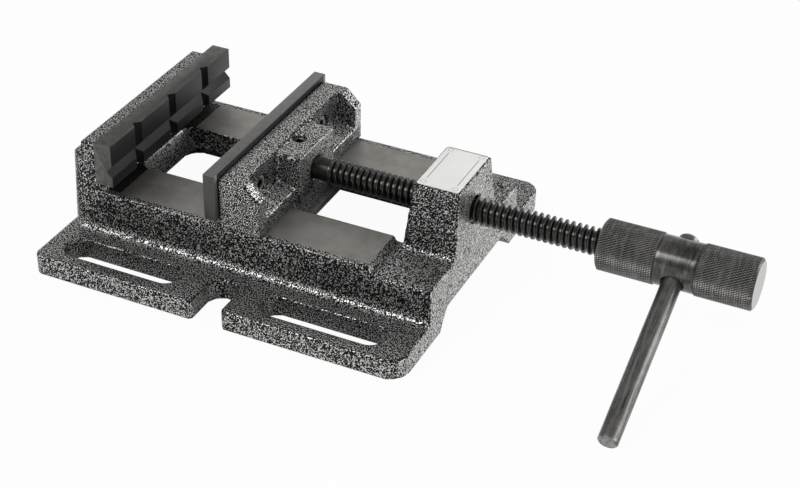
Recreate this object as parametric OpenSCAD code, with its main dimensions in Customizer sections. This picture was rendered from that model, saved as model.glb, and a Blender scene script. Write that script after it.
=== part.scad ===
// Drill press vise: a slotted cast base with machined ways, a sliding jaw that a trapezoidal screw drives,
// and a knurled hub with a sliding tommy bar. All sizes in millimetres.
// X runs along the screw towards the handle, Y across the jaws and Z up.
// The origin is the centre of the four bolt slots, on the plane that the base stands on.

/* [Base flange] */
// Length of the flange along the screw
base_l = 175; // [165:1:190]
// Width of the flange across the slots
base_w = 152; // [146:1:170]
// Thickness of the flange
flange_t = 9.4; // [7:0.1:12]
// Plan radius of the two corners behind the fixed jaw
corner_jaw_r = 5; // [3:0.5:8]
// Plan radius of the two corners under the screw
corner_screw_r = 9; // [4:0.5:12]
// Rounding of the flange's upper rim
rim_r = 1.2; // [0.5:0.1:2.5]

/* [Bolt slots and notches] */
// Distance from the base's jaw end to the centre of the slot pattern
slot_from_end = 85.5; // [82:0.5:90]
// Spacing of the slots along the screw
slot_pitch_x = 96; // [90:0.5:102]
// Spacing of the slots across the base
slot_pitch_y = 125.4; // [122:0.2:128]
// Overall length of one slot
slot_l = 56; // [40:0.5:60]
// Width of one slot
slot_w = 13; // [10:0.5:14]
// Width of the open notch in each long side
notch_w = 14; // [10:0.5:18]
// Depth of the notch from the side of the flange
notch_depth = 20; // [14:0.5:22]
// Rounding of the notch's mouth
notch_mouth_r = 2; // [1:0.5:4]

/* [Ways and body] */
// Width of the body over its side walls
body_w = 93; // [88:0.5:100]
// Height of the ways above the table
way_h = 29.1; // [27:0.1:33]
// Thickness of the deck that carries the ways
deck_t = 10.5; // [9:0.1:14]
// Width of the open gap between the two ways
way_gap = 39.4; // [34:0.2:44]
// Rounding of the outer edge of each way
way_edge_r = 1; // [0.5:0.1:3]
// Fillet between the side walls and the flange
wall_fillet_r = 4; // [2:0.5:6]
// Plan radius in the corners of the gap between the ways
gap_corner_r = 5; // [3:0.5:8]
// Thickness of the side walls round the hollow, at the table
wall_t = 3.4; // [3:0.1:9]
// Thickness of the end walls round the hollow, at the table
end_wall_t = 11; // [8:0.5:14]
// Draft of the hollow's walls
hollow_draft = 8; // [2:0.5:10]
// Plan radius in the corners of the hollow
hollow_corner_r = 8; // [4:0.5:12]
// Width of the relief between the two feet, at the table
relief_w = 74; // [50:1:76]
// Height of the relief between the two feet
relief_h = 8; // [4:0.1:9]
// Lean of the gap's end wall below the fixed jaw
gap_wall_lean = 4.5; // [0.5:0.1:6]

/* [Shoulder and nut block] */
// Height of the lower shoulder beside the nut block
shoulder_h = 25.7; // [23:0.1:26.5]
// Distance from the screw end of the base to the end of the ways
shoulder_l = 29.7; // [28:0.1:34]
// Length of the hollow ramp from the ways down to the shoulder
ramp_l = 4.5; // [4:0.5:16]
// Rounding of the shoulder's outer edge
shoulder_edge_r = 1.5; // [1:0.5:5]
// Draft of the end face below the screw
end_draft = 2.6; // [1:0.1:4]
// Height of the nut block above the table
nut_h = 55; // [52:0.5:60]
// Length of the nut block's top
nut_top_l = 20.5; // [18:0.5:24]
// Width of the nut block's top
nut_top_w = 34; // [30:0.5:38]
// Width of the nut block where it meets the shoulder
nut_root_w = 43.5; // [39:0.5:46]
// Draft of the nut block's face towards the jaw
nut_draft = 4.7; // [1:0.1:6]
// Fillet at the root of the nut block
nut_fillet_r = 4; // [2:0.5:6]
// Thickness of the plate on top of the nut block
label_t = 0.5; // [0.3:0.1:1]
// Bare rim round that plate
label_margin = 0.9; // [0.5:0.1:3]
// Corner radius of that plate
label_corner_r = 0.8; // [0.5:0.1:3]

/* [Fixed jaw] */
// Distance from the base's jaw end to the seat of the fixed jaw plate
fixed_seat = 18.1; // [17:0.1:22]
// Height of both jaw castings above the table
jaw_cast_h = 52.7; // [50:0.1:56]
// Thickness of the fixed jaw at its top
fixed_cap_t = 9; // [7:0.1:10]
// Height of the ledge on the back of the fixed jaw
ledge_h = 45; // [43:0.1:46.5]
// Rise of the bevel from the ledge to the top's back face
ledge_rise = 5.2; // [3:0.1:6]
// Thickness of the fixed jaw just below the ledge
fixed_ledge_t = 14.9; // [13:0.1:16]
// Draft of the back of the fixed jaw
back_draft = 3; // [1:0.1:4]
// Rounding of the upright edges on the back of the fixed jaw
back_edge_r = 5; // [2:0.5:6]
// Fillet between the fixed jaw's front and the ways
jaw_root_r = 2.5; // [1:0.1:3]

/* [Jaw plates] */
// Width of both jaw plates
jaw_w = 100; // [94:1:120]
// Gap between the jaw faces as drawn
opening = 44.7; // [20:0.1:60]
// Thickness of the fixed jaw plate
fixed_plate_t = 8.5; // [7:0.1:11]
// Height of the fixed jaw plate
fixed_plate_h = 20; // [18:0.5:21]
// Height of the fixed plate's lower edge above the ways
fixed_plate_lift = 6.7; // [5:0.1:8]
// Thickness of the moving jaw plate
moving_plate_t = 5.7; // [5:0.1:8]
// Height of the moving jaw plate
moving_plate_h = 22; // [20:0.5:23]
// Height of the moving plate's lower edge above the ways
moving_plate_lift = 4.1; // [3:0.1:5]
// Width of each V-groove in the fixed plate
groove_w = 5.6; // [4:0.1:7]
// Depth of each V-groove
groove_depth = 2.6; // [1.5:0.1:3.5]
// Height of the level groove above the plate's lower edge
groove_rise = 7.6; // [6:0.1:9]
// Spacing of the upright grooves, and of the screws that hold the plates
groove_pitch = 28; // [25:0.5:31]

/* [Sliding jaw] */
// Width of the sliding jaw casting
slide_jaw_w = 95; // [90:0.5:100]
// Length of the sliding jaw casting along the screw
slide_jaw_l = 19.3; // [18:0.1:24]
// Leg of the bevel along the casting's upper back edge
slide_bevel = 6.7; // [4:0.1:8]
// Width of the boss round the screw
boss_w = 32; // [28:0.5:36]
// How far the boss stands behind the casting
boss_proud = 2.2; // [1:0.1:4]
// Height of the boss above the table
boss_h = 51; // [48:0.1:51.5]
// Rounding of the boss's upper edges
boss_edge_r = 1.5; // [0.5:0.1:3]
// Thickness of the end walls beside the two pockets
pocket_end_t = 6.5; // [4:0.1:8]
// Depth of casting left in front of the pockets
pocket_wall_t = 10.5; // [8:0.1:12]
// Height of the pocket's floor at its inner end
pocket_floor_h = 38.3; // [36:0.1:40]
// Fall of the pocket's floor towards the back
pocket_fall = 16; // [8:0.5:20]
// Rounding inside the pockets
pocket_r = 2.5; // [1:0.5:4]
// How far the tongue stops short of the casting's back
tongue_setback = 0.4; // [0.2:0.1:2]

/* [Keeper] */
// Width of the keeper plate under the ways
keeper_w = 60; // [48:1:66]
// Thickness of the keeper plate
keeper_t = 3.2; // [3:0.1:6]
// How far the keeper plate stands out behind the tongue
keeper_proud = 2.8; // [1:0.1:5]
// How far the keeper plate stands out in front of the casting
keeper_lead = 2; // [1:0.1:4]
// Spacing of the two keeper screws across the tongue
keeper_pitch = 22; // [14:0.5:26]
// Thickness of each spring washer
washer_t = 1.6; // [1:0.1:2]
// Outer diameter of each spring washer
washer_d = 10.4; // [10:0.1:12]
// Width of the split in each spring washer
washer_split = 1.2; // [0.6:0.1:2]

/* [Lead screw] */
// Outer diameter of the thread
screw_d = 12; // [10:0.5:14]
// Height of the screw above the table
screw_h = 38.7; // [38:0.1:40]
// Diameter of the plain journal in the sliding jaw
journal_d = 10; // [9:0.1:11]
// Casting left between the journal's tip and the moving plate
tip_wall = 4; // [3:0.1:6]
// Length of plain journal behind the boss
neck_l = 7.5; // [6:0.5:14]
// Length of the threaded part
thread_l = 123.5; // [115:0.25:150]
// Distance from the journal's tip to its retaining groove
retainer_from_tip = 9; // [7:0.1:10]
// Width of the retaining groove
retainer_w = 4; // [3.6:0.1:5]
// Depth of the retaining groove
retainer_depth = 1.6; // [1:0.1:2]
// Diameter of the spigot inside the hub
spigot_d = 9; // [7:0.1:10]
// Length of the spigot inside the hub
spigot_l = 24; // [16:0.5:26]
// Chamfer at the ends of the screw's steps
screw_chamfer = 1; // [0.5:0.1:1.5]

/* [Handle] */
// Diameter of the knurled hub
hub_d = 22; // [20:0.5:26]
// Length of the hub
hub_l = 65.6; // [60:0.1:75]
// Diameter of the plain band between the knurls
hub_band_d = 21; // [18:0.1:21.5]
// Length of the knurl next to the screw
knurl_inner_l = 24.5; // [16:0.1:26]
// Length of the knurl at the free end
knurl_outer_l = 24.1; // [16:0.1:26]
// Chamfer at both ends of the hub
hub_chamfer = 1.1; // [0.5:0.1:2.5]
// Diameter of the tommy bar
bar_d = 8.5; // [6:0.5:10]
// Length of the tommy bar
bar_l = 97.9; // [80:0.1:130]
// Distance from the screw's axis to the bar's lower end
bar_reach = 85.1; // [60:0.1:85.1]
// Angle of the bar below level
bar_angle = 24.3; // [0:0.1:24.3]
// Chamfer at the ends of the bar
bar_chamfer = 0.8; // [0.4:0.1:1.2]
// Width of the bevel round the mouths of the bar's hole
bar_mouth = 0.6; // [0.2:0.1:1]

/* [Fasteners] */
// Thread diameter of the screws that hold the jaw plates
plate_screw_d = 5; // [4:0.5:6]
// Head diameter of those screws
plate_head_d = 8.5; // [8:0.1:9.5]
// Head height of those screws
plate_head_h = 5; // [4:0.1:6]
// Height of those screws above the ways
plate_screw_rise = 13.4; // [12:0.1:15]
// Casting left under the heads of those screws
plate_screw_seat = 4; // [3:0.1:6]
// How far those screws reach into the plates
plate_screw_grip = 4.6; // [3:0.1:4.8]
// Diameter of the grub screw that holds the lead screw
grub_d = 6; // [5:0.1:7]
// Diameter of the grub screw's dog point
grub_point_d = 3.2; // [2.4:0.1:3.4]
// Depth of the grub screw's top below the boss
grub_sink = 1; // [0.5:0.1:2]
// Thread diameter of the keeper screws
keeper_screw_d = 6; // [5:0.5:7]
// Size across flats of the keeper screws' heads
keeper_head_af = 10; // [9:0.5:11]
// Height of the keeper screws' heads
keeper_head_h = 4; // [3:0.1:5]
// How far the keeper screws reach into the tongue
keeper_grip = 10; // [7:0.5:12]
// Size across flats of the sockets in the cap screws and the grub screw
socket_af = 3.4; // [2:0.1:3.8]
// Depth of those hexagon sockets
socket_depth = 2.5; // [1:0.1:3]

/* [Fits] */
// Radial room round the screw, its journal and the bar
run_fit = 0.08; // [0.02:0.01:0.1]
// Radial room round threads and spigots that stay put
seat_fit = 0.05; // [0.01:0.01:0.1]
// Height of the sliding jaw over the ways
slide_gap = 0.1; // [0.05:0.05:0.3]
// Room between the tongue and each way
tongue_gap = 0.2; // [0.1:0.05:0.4]
// Room between the keeper plate and the underside of the ways
keeper_gap = 0.2; // [0.1:0.05:0.4]
// Radial room round the heads of the plate screws
head_room = 0.5; // [0.3:0.1:0.8]
// Room between the grub screw's point and the bottom and sides of its groove
point_gap = 0.3; // [0.2:0.1:0.4]

/* [Hidden] */
$fn = 96;

// Overlap that lets joined shapes run into each other, and the reach of cuts past a face
lap = 0.6;
past = 5;
// How far a fillet's arc runs into the sides that it joins, so that it crosses them and doesn't just touch
bite = 0.02;

// Places along X
left_x = -slot_from_end;
right_x = left_x + base_l;
seat_x = left_x + fixed_seat;
fixed_face_x = seat_x + fixed_plate_t;
moving_face_x = fixed_face_x + opening;
jaw_x = moving_face_x + moving_plate_t;
jaw_back_x = jaw_x + slide_jaw_l;
boss_back_x = jaw_back_x + boss_proud;
way_end_x = right_x - shoulder_l;
ramp_end_x = way_end_x + ramp_l;
nut_top_x = right_x - nut_h * tan(end_draft) - nut_top_l;
nut_root_x = nut_top_x - (nut_h - shoulder_h) * tan(nut_draft);
gap_x = seat_x + jaw_root_r;
tip_x = jaw_x + tip_wall;
thread_x = boss_back_x + neck_l;
hub_x = thread_x + thread_l;
hub_end_x = hub_x + hub_l;
bar_x = hub_x + hub_l / 2;
grub_x = tip_x + retainer_from_tip;

// Heights and half widths
way_drop = way_h - shoulder_h;
ramp_r = (ramp_l * ramp_l + way_drop * way_drop) / (2 * way_drop);
// The ramp stops where it still has a little thickness, so that it doesn't end in a knife edge
ramp_trim = ramp_l / 8;
deck_under_h = way_h - deck_t;
jaw_under_h = way_h + slide_gap;
keeper_top_h = deck_under_h - keeper_gap;
keeper_under_h = keeper_top_h - keeper_t;
fixed_plate_z = way_h + fixed_plate_lift;
moving_plate_z = way_h + moving_plate_lift;
plate_screw_h = way_h + plate_screw_rise;
tongue_w = way_gap - 2 * tongue_gap;
tongue_back_x = jaw_back_x - tongue_setback;
keeper_mid_x = (jaw_x + tongue_back_x) / 2;
ledge_x = seat_x - fixed_ledge_t;
cap_x = seat_x - fixed_cap_t;
// Where the rounded back corner meets the straight side wall, at the flange
wall_x = ledge_x - (ledge_h - flange_t) * tan(back_draft) + back_edge_r;
pocket_x = jaw_x + pocket_wall_t;
pocket_out_y = slide_jaw_w / 2 - pocket_end_t;
screw_r = screw_d / 2;
journal_r = journal_d / 2;
hub_r = hub_d / 2;
bar_r = bar_d / 2;
grub_top_h = boss_h - grub_sink;
grub_point_h = screw_h + journal_r - retainer_depth + point_gap;

// Carries a profile drawn in Y and Z along X
module along_x(x0, x1) {
  translate([x0, 0, 0]) rotate([90, 0, 90]) linear_extrude(x1 - x0) children();
}

// Carries a profile drawn in X and Z along Y
module along_y(y0, y1) {
  translate([0, y1, 0]) rotate([90, 0, 0]) linear_extrude(y1 - y0) children();
}

// A round bar along X
module rod_x(x0, x1, r) {
  translate([x0, 0, 0]) rotate([0, 90, 0]) cylinder(h = x1 - x0, r = r);
}

// The piece between a corner and the arc that rounds it: k is the corner, a and b are its sides' directions.
// It reaches into the sides by the depth given, which joins it to them.
module web(k, a, b, r, depth = 0) {
  u = [cos(a), sin(a)];
  v = [cos(b), sin(b)];
  half = acos(u * v) / 2;
  mid = (u + v) / norm(u + v);
  reach = r / tan(half);
  centre = k + mid * ((depth > 0 ? r - bite : r) / sin(half));
  difference() {
    polygon([
      k - (u + v) * depth, k + u * reach - v * depth, k + u * reach, centre,
      k + v * reach, k + v * reach - u * depth
    ]);
    translate(centre) circle(r);
  }
}

// A rectangle that stands on 0 with round upper corners
module round_top(w, h, r) {
  difference() {
    translate([-w / 2, 0]) square([w, h]);
    for (side = [0, 1]) mirror([side, 0]) web([w / 2, h], 180, 270, r);
  }
}

// A rectangle with one radius at its low X corners and another at its high X corners
module round_ends(x0, x1, w, r0, r1) {
  difference() {
    translate([x0, -w / 2]) square([x1 - x0, w]);
    for (side = [0, 1]) mirror([0, side]) {
      web([x0, w / 2], 0, 270, r0);
      web([x1, w / 2], 180, 270, r1);
    }
  }
}

// One bolt slot or its like, centred on the origin
module slot_outline(l, w) {
  square([l - w, w], center = true);
  for (end = [-1, 1]) translate([end * (l - w) / 2, 0]) circle(d = w);
}

// One open notch in the side of the flange, with a round inner end and a rounded mouth
module notch_outline() {
  side_y = base_w / 2;
  inner_y = side_y - notch_depth + notch_w / 2;
  translate([0, inner_y]) circle(d = notch_w);
  translate([-notch_w / 2, inner_y]) square([notch_w, side_y - inner_y + past]);
  for (side = [0, 1]) mirror([side, 0]) web([notch_w / 2, side_y], 0, 270, notch_mouth_r);
}

// The slotted flange with its upper rim rounded
module flange() {
  intersection() {
    linear_extrude(flange_t) difference() {
      round_ends(left_x, right_x, base_w, corner_jaw_r, corner_screw_r);
      for (x = [-1, 1], y = [-1, 1])
        translate([x * slot_pitch_x / 2, y * slot_pitch_y / 2]) slot_outline(slot_l, slot_w);
      for (side = [0, 1]) mirror([0, side]) notch_outline();
    }
    along_x(left_x - past, right_x + past) round_top(base_w, flange_t, rim_r);
    along_y(-base_w, base_w) translate([(left_x + right_x) / 2, 0]) round_top(base_l, flange_t, rim_r);
  }
}

// The raised ways, which run out in a hollow ramp
module ways() {
  difference() {
    along_x(left_x, ramp_end_x - ramp_trim) translate([0, flange_t])
      round_top(body_w, way_h - flange_t, way_edge_r);
    translate([ramp_end_x, body_w, shoulder_h + ramp_r]) rotate([90, 0, 0])
      cylinder(h = 2 * body_w, r = ramp_r);
  }
}

// The upright of the fixed jaw, with a beveled ledge on its back and a fillet at its front
module fixed_jaw() {
  along_y(-body_w / 2, body_w / 2) {
    polygon([
      [left_x, flange_t], [left_x, ledge_h], [ledge_x, ledge_h], [cap_x, ledge_h + ledge_rise],
      [cap_x, jaw_cast_h], [seat_x, jaw_cast_h], [seat_x, flange_t]
    ]);
    web([seat_x, way_h], 90, 0, jaw_root_r, lap);
  }
}

// The leaning space that the back of the fixed jaw and the body are trimmed to
module back_trim() {
  translate([ledge_x, 0, ledge_h]) rotate([0, back_draft, 0]) translate([0, 0, -2 * ledge_h])
    linear_extrude(4 * ledge_h) round_ends(0, 2 * base_l, body_w, back_edge_r, back_edge_r);
}

// The block that the screw runs in, with drafted sides and a fillet at its root
module nut_block() {
  root = [nut_root_w / 2, shoulder_h];
  lean = atan2(nut_h - shoulder_h, (nut_top_w - nut_root_w) / 2);
  intersection() {
    along_x(nut_root_x - past, right_x) for (side = [0, 1]) mirror([side, 0]) {
      polygon([[-lap, flange_t], [root[0], flange_t], root, [nut_top_w / 2, nut_h], [-lap, nut_h]]);
      web(root, lean, 0, nut_fillet_r, lap);
    }
    along_y(-body_w, body_w) polygon([
      [nut_root_x, 0], [nut_root_x, shoulder_h], [nut_top_x, nut_h],
      [right_x + past, nut_h], [right_x + past, 0]
    ]);
  }
}

// The hollow under the deck, with drafted walls and round corners
module hollow() {
  spread = deck_under_h * tan(hollow_draft);
  x0 = left_x + end_wall_t - spread;
  x1 = right_x - end_wall_t + spread;
  half = body_w / 2 - wall_t;
  intersection() {
    translate([0, 0, -past]) linear_extrude(deck_under_h + past)
      round_ends(x0, x1, 2 * half, hollow_corner_r, hollow_corner_r);
    along_y(-base_w, base_w) polygon([
      [x0, -past], [x0, 0], [x0 + spread, deck_under_h],
      [x1 - spread, deck_under_h], [x1, 0], [x1, -past]
    ]);
    along_x(left_x, right_x) polygon([
      [-half, -past], [-half, 0], [spread - half, deck_under_h],
      [half - spread, deck_under_h], [half, 0], [half, -past]
    ]);
  }
}

// The gap between the ways, whose end below the fixed jaw leans outwards
module way_opening() {
  difference() {
    translate([0, 0, -past]) linear_extrude(way_h + 2 * past)
      round_ends(gap_x, nut_root_x, way_gap, gap_corner_r, gap_corner_r);
    along_y(-way_gap, way_gap) polygon([
      [gap_x - past, way_h], [gap_x, way_h],
      [gap_x + gap_wall_lean, deck_under_h], [gap_x - past, deck_under_h]
    ]);
  }
}

// The relief with sloping sides that leaves the base standing on its two long sides
module foot_relief() {
  along_x(left_x - past, right_x + past) polygon([
    [-relief_w / 2 - past, -past], [-relief_w / 2 + relief_h, relief_h],
    [relief_w / 2 - relief_h, relief_h], [relief_w / 2 + past, -past]
  ]);
}

// The space beyond the drafted end face
module end_trim() {
  along_y(-base_w, base_w) polygon([
    [right_x, 0], [right_x + past, -past], [right_x + 4 * past, -past], [right_x + 4 * past, 2 * nut_h],
    [right_x - 2 * nut_h * tan(end_draft), 2 * nut_h]
  ]);
}

// The hole and counterbore for one plate screw, from a seat towards +X or, mirrored, towards -X
module plate_screw_hole(bore_l, mouth_l) {
  rod_x(-bore_l, lap, plate_screw_d / 2 + seat_fit);
  rod_x(0, mouth_l, plate_head_d / 2 + head_room);
}

module base_casting() {
  color("dimgray") difference() {
    union() {
      flange();
      intersection() {
        union() {
          along_x(left_x, right_x) round_top(body_w, shoulder_h, shoulder_edge_r);
          ways();
          fixed_jaw();
        }
        back_trim();
      }
      along_x(wall_x, right_x)
        for (side = [0, 1]) mirror([side, 0]) web([body_w / 2, flange_t], 90, 0, wall_fillet_r, lap);
      nut_block();
    }
    hollow();
    way_opening();
    foot_relief();
    end_trim();
    translate([0, 0, screw_h]) rod_x(nut_root_x - past, right_x + past, screw_r + run_fit);
    for (side = [-1, 1]) translate([seat_x - plate_screw_seat, side * groove_pitch, plate_screw_h])
      mirror([1, 0, 0]) plate_screw_hole(plate_screw_seat + past, fixed_seat + past);
  }
}

// The bare plate on top of the nut block
module label_plate() {
  x0 = nut_top_x + label_margin;
  x1 = nut_top_x + nut_top_l - label_margin;
  color("gainsboro") translate([0, 0, nut_h]) linear_extrude(label_t)
    round_ends(x0, x1, nut_top_w - 2 * label_margin, label_corner_r, label_corner_r);
}

// One V-groove: an opening of groove_w on the line x = 0 that narrows towards -x
module groove_outline() {
  flare = groove_w / 2 / groove_depth;
  polygon([
    [-groove_depth, 0], [past, -(groove_depth + past) * flare], [past, (groove_depth + past) * flare]
  ]);
}

module fixed_jaw_plate() {
  color("#3d3d3c") difference() {
    along_y(-jaw_w / 2, jaw_w / 2) difference() {
      translate([seat_x, fixed_plate_z]) square([fixed_plate_t, fixed_plate_h]);
      translate([fixed_face_x, fixed_plate_z + groove_rise]) groove_outline();
    }
    for (row = [-1, 0, 1]) translate([fixed_face_x, row * groove_pitch, fixed_plate_z - past])
      linear_extrude(fixed_plate_h + 2 * past) groove_outline();
    for (side = [-1, 1]) translate([seat_x - past, side * groove_pitch, plate_screw_h])
      rod_x(0, past + plate_screw_grip + point_gap, plate_screw_d / 2 + seat_fit);
  }
}

// A cap screw whose head seats on x = 0 and stands towards +X, with a hexagon socket
module cap_screw(shank_l) {
  color("#2b2b2b") difference() {
    union() {
      rod_x(-shank_l, lap, plate_screw_d / 2);
      rod_x(0, plate_head_h, plate_head_d / 2);
    }
    translate([plate_head_h - socket_depth, 0, 0]) rotate([0, 90, 0])
      cylinder(h = socket_depth + past, d = socket_af / cos(30), $fn = 6);
  }
}

module fixed_jaw_screw(side) {
  translate([seat_x - plate_screw_seat, side * groove_pitch, plate_screw_h])
    mirror([1, 0, 0]) cap_screw(plate_screw_seat + plate_screw_grip);
}
module fixed_jaw_screw_near() { fixed_jaw_screw(-1); }
module fixed_jaw_screw_far() { fixed_jaw_screw(1); }

// One of the two pockets in the back of the sliding jaw, on the +Y side
module jaw_pocket() {
  reach = slide_jaw_l + boss_proud + past;
  mid_y = (boss_w / 2 + pocket_out_y) / 2;
  intersection() {
    along_y(0, slide_jaw_w) difference() {
      polygon([
        [pocket_x, pocket_floor_h], [pocket_x + reach, pocket_floor_h - reach * tan(pocket_fall)],
        [pocket_x + reach, jaw_cast_h + past], [pocket_x, jaw_cast_h + past]
      ]);
      web([pocket_x, pocket_floor_h], 90, -pocket_fall, pocket_r);
    }
    translate([0, mid_y, 0]) linear_extrude(2 * jaw_cast_h)
      round_ends(pocket_x, pocket_x + 2 * reach, pocket_out_y - boss_w / 2, pocket_r, pocket_r);
  }
}

module sliding_jaw() {
  bore_r = journal_r + run_fit;
  color("dimgray") difference() {
    union() {
      along_y(-slide_jaw_w / 2, slide_jaw_w / 2) polygon([
        [jaw_x, jaw_under_h], [jaw_x, jaw_cast_h], [jaw_back_x - slide_bevel, jaw_cast_h],
        [jaw_back_x, jaw_cast_h - slide_bevel], [jaw_back_x, jaw_under_h]
      ]);
      along_x(pocket_x - lap, boss_back_x) translate([0, jaw_under_h])
        round_top(boss_w, boss_h - jaw_under_h, boss_edge_r);
      // The tongue has the gap's corners, so that it clears them when the jaw is wide open
      translate([0, 0, keeper_top_h]) linear_extrude(jaw_under_h + lap - keeper_top_h)
        round_ends(jaw_x, tongue_back_x, tongue_w, gap_corner_r, gap_corner_r);
    }
    for (side = [0, 1]) mirror([0, side, 0]) jaw_pocket();
    translate([pocket_x - lap, -boss_w / 2 - lap, boss_h]) cube([slide_jaw_l, boss_w + 2 * lap, jaw_cast_h]);
    translate([0, 0, screw_h]) {
      rod_x(tip_x - point_gap, boss_back_x + past, bore_r);
      translate([boss_back_x - screw_chamfer, 0, 0]) rotate([0, 90, 0])
        cylinder(h = 2 * screw_chamfer, r1 = bore_r, r2 = bore_r + 2 * screw_chamfer);
    }
    translate([grub_x, 0, screw_h]) cylinder(h = jaw_cast_h, d = grub_d + 2 * seat_fit);
    for (side = [-1, 1]) translate([jaw_x + plate_screw_seat, side * groove_pitch, plate_screw_h])
      plate_screw_hole(plate_screw_seat + past, slide_jaw_l + past);
    for (side = [-1, 1]) translate([keeper_mid_x, side * keeper_pitch / 2, keeper_top_h - past])
      cylinder(h = past + keeper_grip + point_gap, d = keeper_screw_d + 2 * seat_fit);
  }
}

module moving_jaw_plate() {
  color("#3d3d3c") difference() {
    translate([moving_face_x, -jaw_w / 2, moving_plate_z]) cube([moving_plate_t, jaw_w, moving_plate_h]);
    for (side = [-1, 1]) translate([jaw_x - plate_screw_grip - point_gap, side * groove_pitch, plate_screw_h])
      rod_x(0, past + plate_screw_grip, plate_screw_d / 2 + seat_fit);
  }
}

module moving_jaw_screw(side) {
  translate([jaw_x + plate_screw_seat, side * groove_pitch, plate_screw_h])
    cap_screw(plate_screw_seat + plate_screw_grip);
}
module moving_jaw_screw_near() { moving_jaw_screw(-1); }
module moving_jaw_screw_far() { moving_jaw_screw(1); }

// The plate that holds the tongue down under the ways
module keeper_plate() {
  color("#6b6a68") translate([0, 0, keeper_under_h]) linear_extrude(keeper_t) difference() {
    translate([jaw_x - keeper_lead, -keeper_w / 2])
      square([tongue_back_x + keeper_proud - jaw_x + keeper_lead, keeper_w]);
    for (side = [-1, 1]) translate([keeper_mid_x, side * keeper_pitch / 2])
      circle(d = keeper_screw_d + 2 * seat_fit);
  }
}

module keeper_screw(side) {
  head_top_h = keeper_under_h - washer_t;
  color("#4a4a49") translate([keeper_mid_x, side * keeper_pitch / 2, 0]) {
    translate([0, 0, head_top_h - lap])
      cylinder(h = keeper_top_h + keeper_grip - head_top_h + lap, d = keeper_screw_d);
    translate([0, 0, head_top_h - keeper_head_h])
      cylinder(h = keeper_head_h, d = keeper_head_af / cos(30), $fn = 6);
  }
}
module keeper_screw_near() { keeper_screw(-1); }
module keeper_screw_far() { keeper_screw(1); }

// A spring washer between a keeper screw's head and the keeper plate, split on one side
module spring_washer(side) {
  color("#555553") translate([keeper_mid_x, side * keeper_pitch / 2, keeper_under_h - washer_t])
    linear_extrude(washer_t) difference() {
      circle(d = washer_d);
      circle(d = keeper_screw_d + 2 * seat_fit);
      translate([washer_d / 2, 0]) square([washer_d, washer_split], center = true);
    }
}
module spring_washer_near() { spring_washer(-1); }
module spring_washer_far() { spring_washer(1); }

// The grub screw in the boss, whose dog point runs in the journal's groove
module retaining_grub_screw() {
  shoulder_z = screw_h + journal_r + point_gap;
  color("#2b2b2b") translate([grub_x, 0, 0]) difference() {
    union() {
      translate([0, 0, shoulder_z]) cylinder(h = grub_top_h - shoulder_z, d = grub_d);
      translate([0, 0, grub_point_h]) cylinder(h = shoulder_z - grub_point_h + lap, d = grub_point_d);
    }
    translate([0, 0, grub_top_h - socket_depth])
      cylinder(h = socket_depth + past, d = socket_af / cos(30), $fn = 6);
  }
}

// A turned profile, drawn with its axis on Y, laid along X at the height of the screw
module turned() {
  translate([0, 0, screw_h]) rotate([0, 90, 0]) rotate_extrude() children();
}

module lead_screw() {
  groove_r = journal_r - retainer_depth;
  color("#242423") turned() polygon([
    [0, tip_x], [journal_r - screw_chamfer, tip_x], [journal_r, tip_x + screw_chamfer],
    [journal_r, grub_x - retainer_w / 2], [groove_r, grub_x - retainer_w / 2],
    [groove_r, grub_x + retainer_w / 2], [journal_r, grub_x + retainer_w / 2],
    [journal_r, thread_x], [screw_r - screw_chamfer, thread_x], [screw_r, thread_x + screw_chamfer],
    [screw_r, hub_x], [spigot_d / 2, hub_x], [spigot_d / 2, hub_x + spigot_l], [0, hub_x + spigot_l]
  ]);
}

module handle_hub() {
  band_r = hub_band_d / 2;
  color("#464645") difference() {
    turned() polygon([
      [0, hub_x], [hub_r - hub_chamfer, hub_x], [hub_r, hub_x + hub_chamfer],
      [hub_r, hub_x + knurl_inner_l], [band_r, hub_x + knurl_inner_l],
      [band_r, hub_end_x - knurl_outer_l], [hub_r, hub_end_x - knurl_outer_l],
      [hub_r, hub_end_x - hub_chamfer], [hub_r - hub_chamfer, hub_end_x], [0, hub_end_x]
    ]);
    translate([0, 0, screw_h]) rod_x(hub_x - past, hub_x + spigot_l + point_gap, spigot_d / 2 + seat_fit);
    translate([bar_x, 0, screw_h]) rotate([90 + bar_angle, 0, 0]) {
      cylinder(h = 2 * hub_d, r = bar_r + run_fit, center = true);
      for (side = [0, 1]) mirror([0, 0, side]) translate([0, 0, band_r - 2 * bar_mouth])
        cylinder(h = 3 * bar_mouth, r1 = bar_r + run_fit - bar_mouth, r2 = bar_r + run_fit + 2 * bar_mouth);
    }
  }
}

module tommy_bar() {
  color("#4e4e4c") translate([bar_x, 0, screw_h]) rotate([90 + bar_angle, 0, 0])
    translate([0, 0, bar_reach - bar_l]) rotate_extrude() polygon([
      [0, 0], [bar_r - bar_chamfer, 0], [bar_r, bar_chamfer], [bar_r, bar_l - bar_chamfer],
      [bar_r - bar_chamfer, bar_l], [0, bar_l]
    ]);
}

base_casting();
label_plate();
fixed_jaw_plate();
fixed_jaw_screw_near();
fixed_jaw_screw_far();
sliding_jaw();
moving_jaw_plate();
moving_jaw_screw_near();
moving_jaw_screw_far();
keeper_plate();
keeper_screw_near();
keeper_screw_far();
spring_washer_near();
spring_washer_far();
retaining_grub_screw();
lead_screw();
handle_hub();
tommy_bar();
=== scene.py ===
import math
import bmesh
import bpy
import numpy as np
from mathutils import Matrix, Vector


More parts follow.
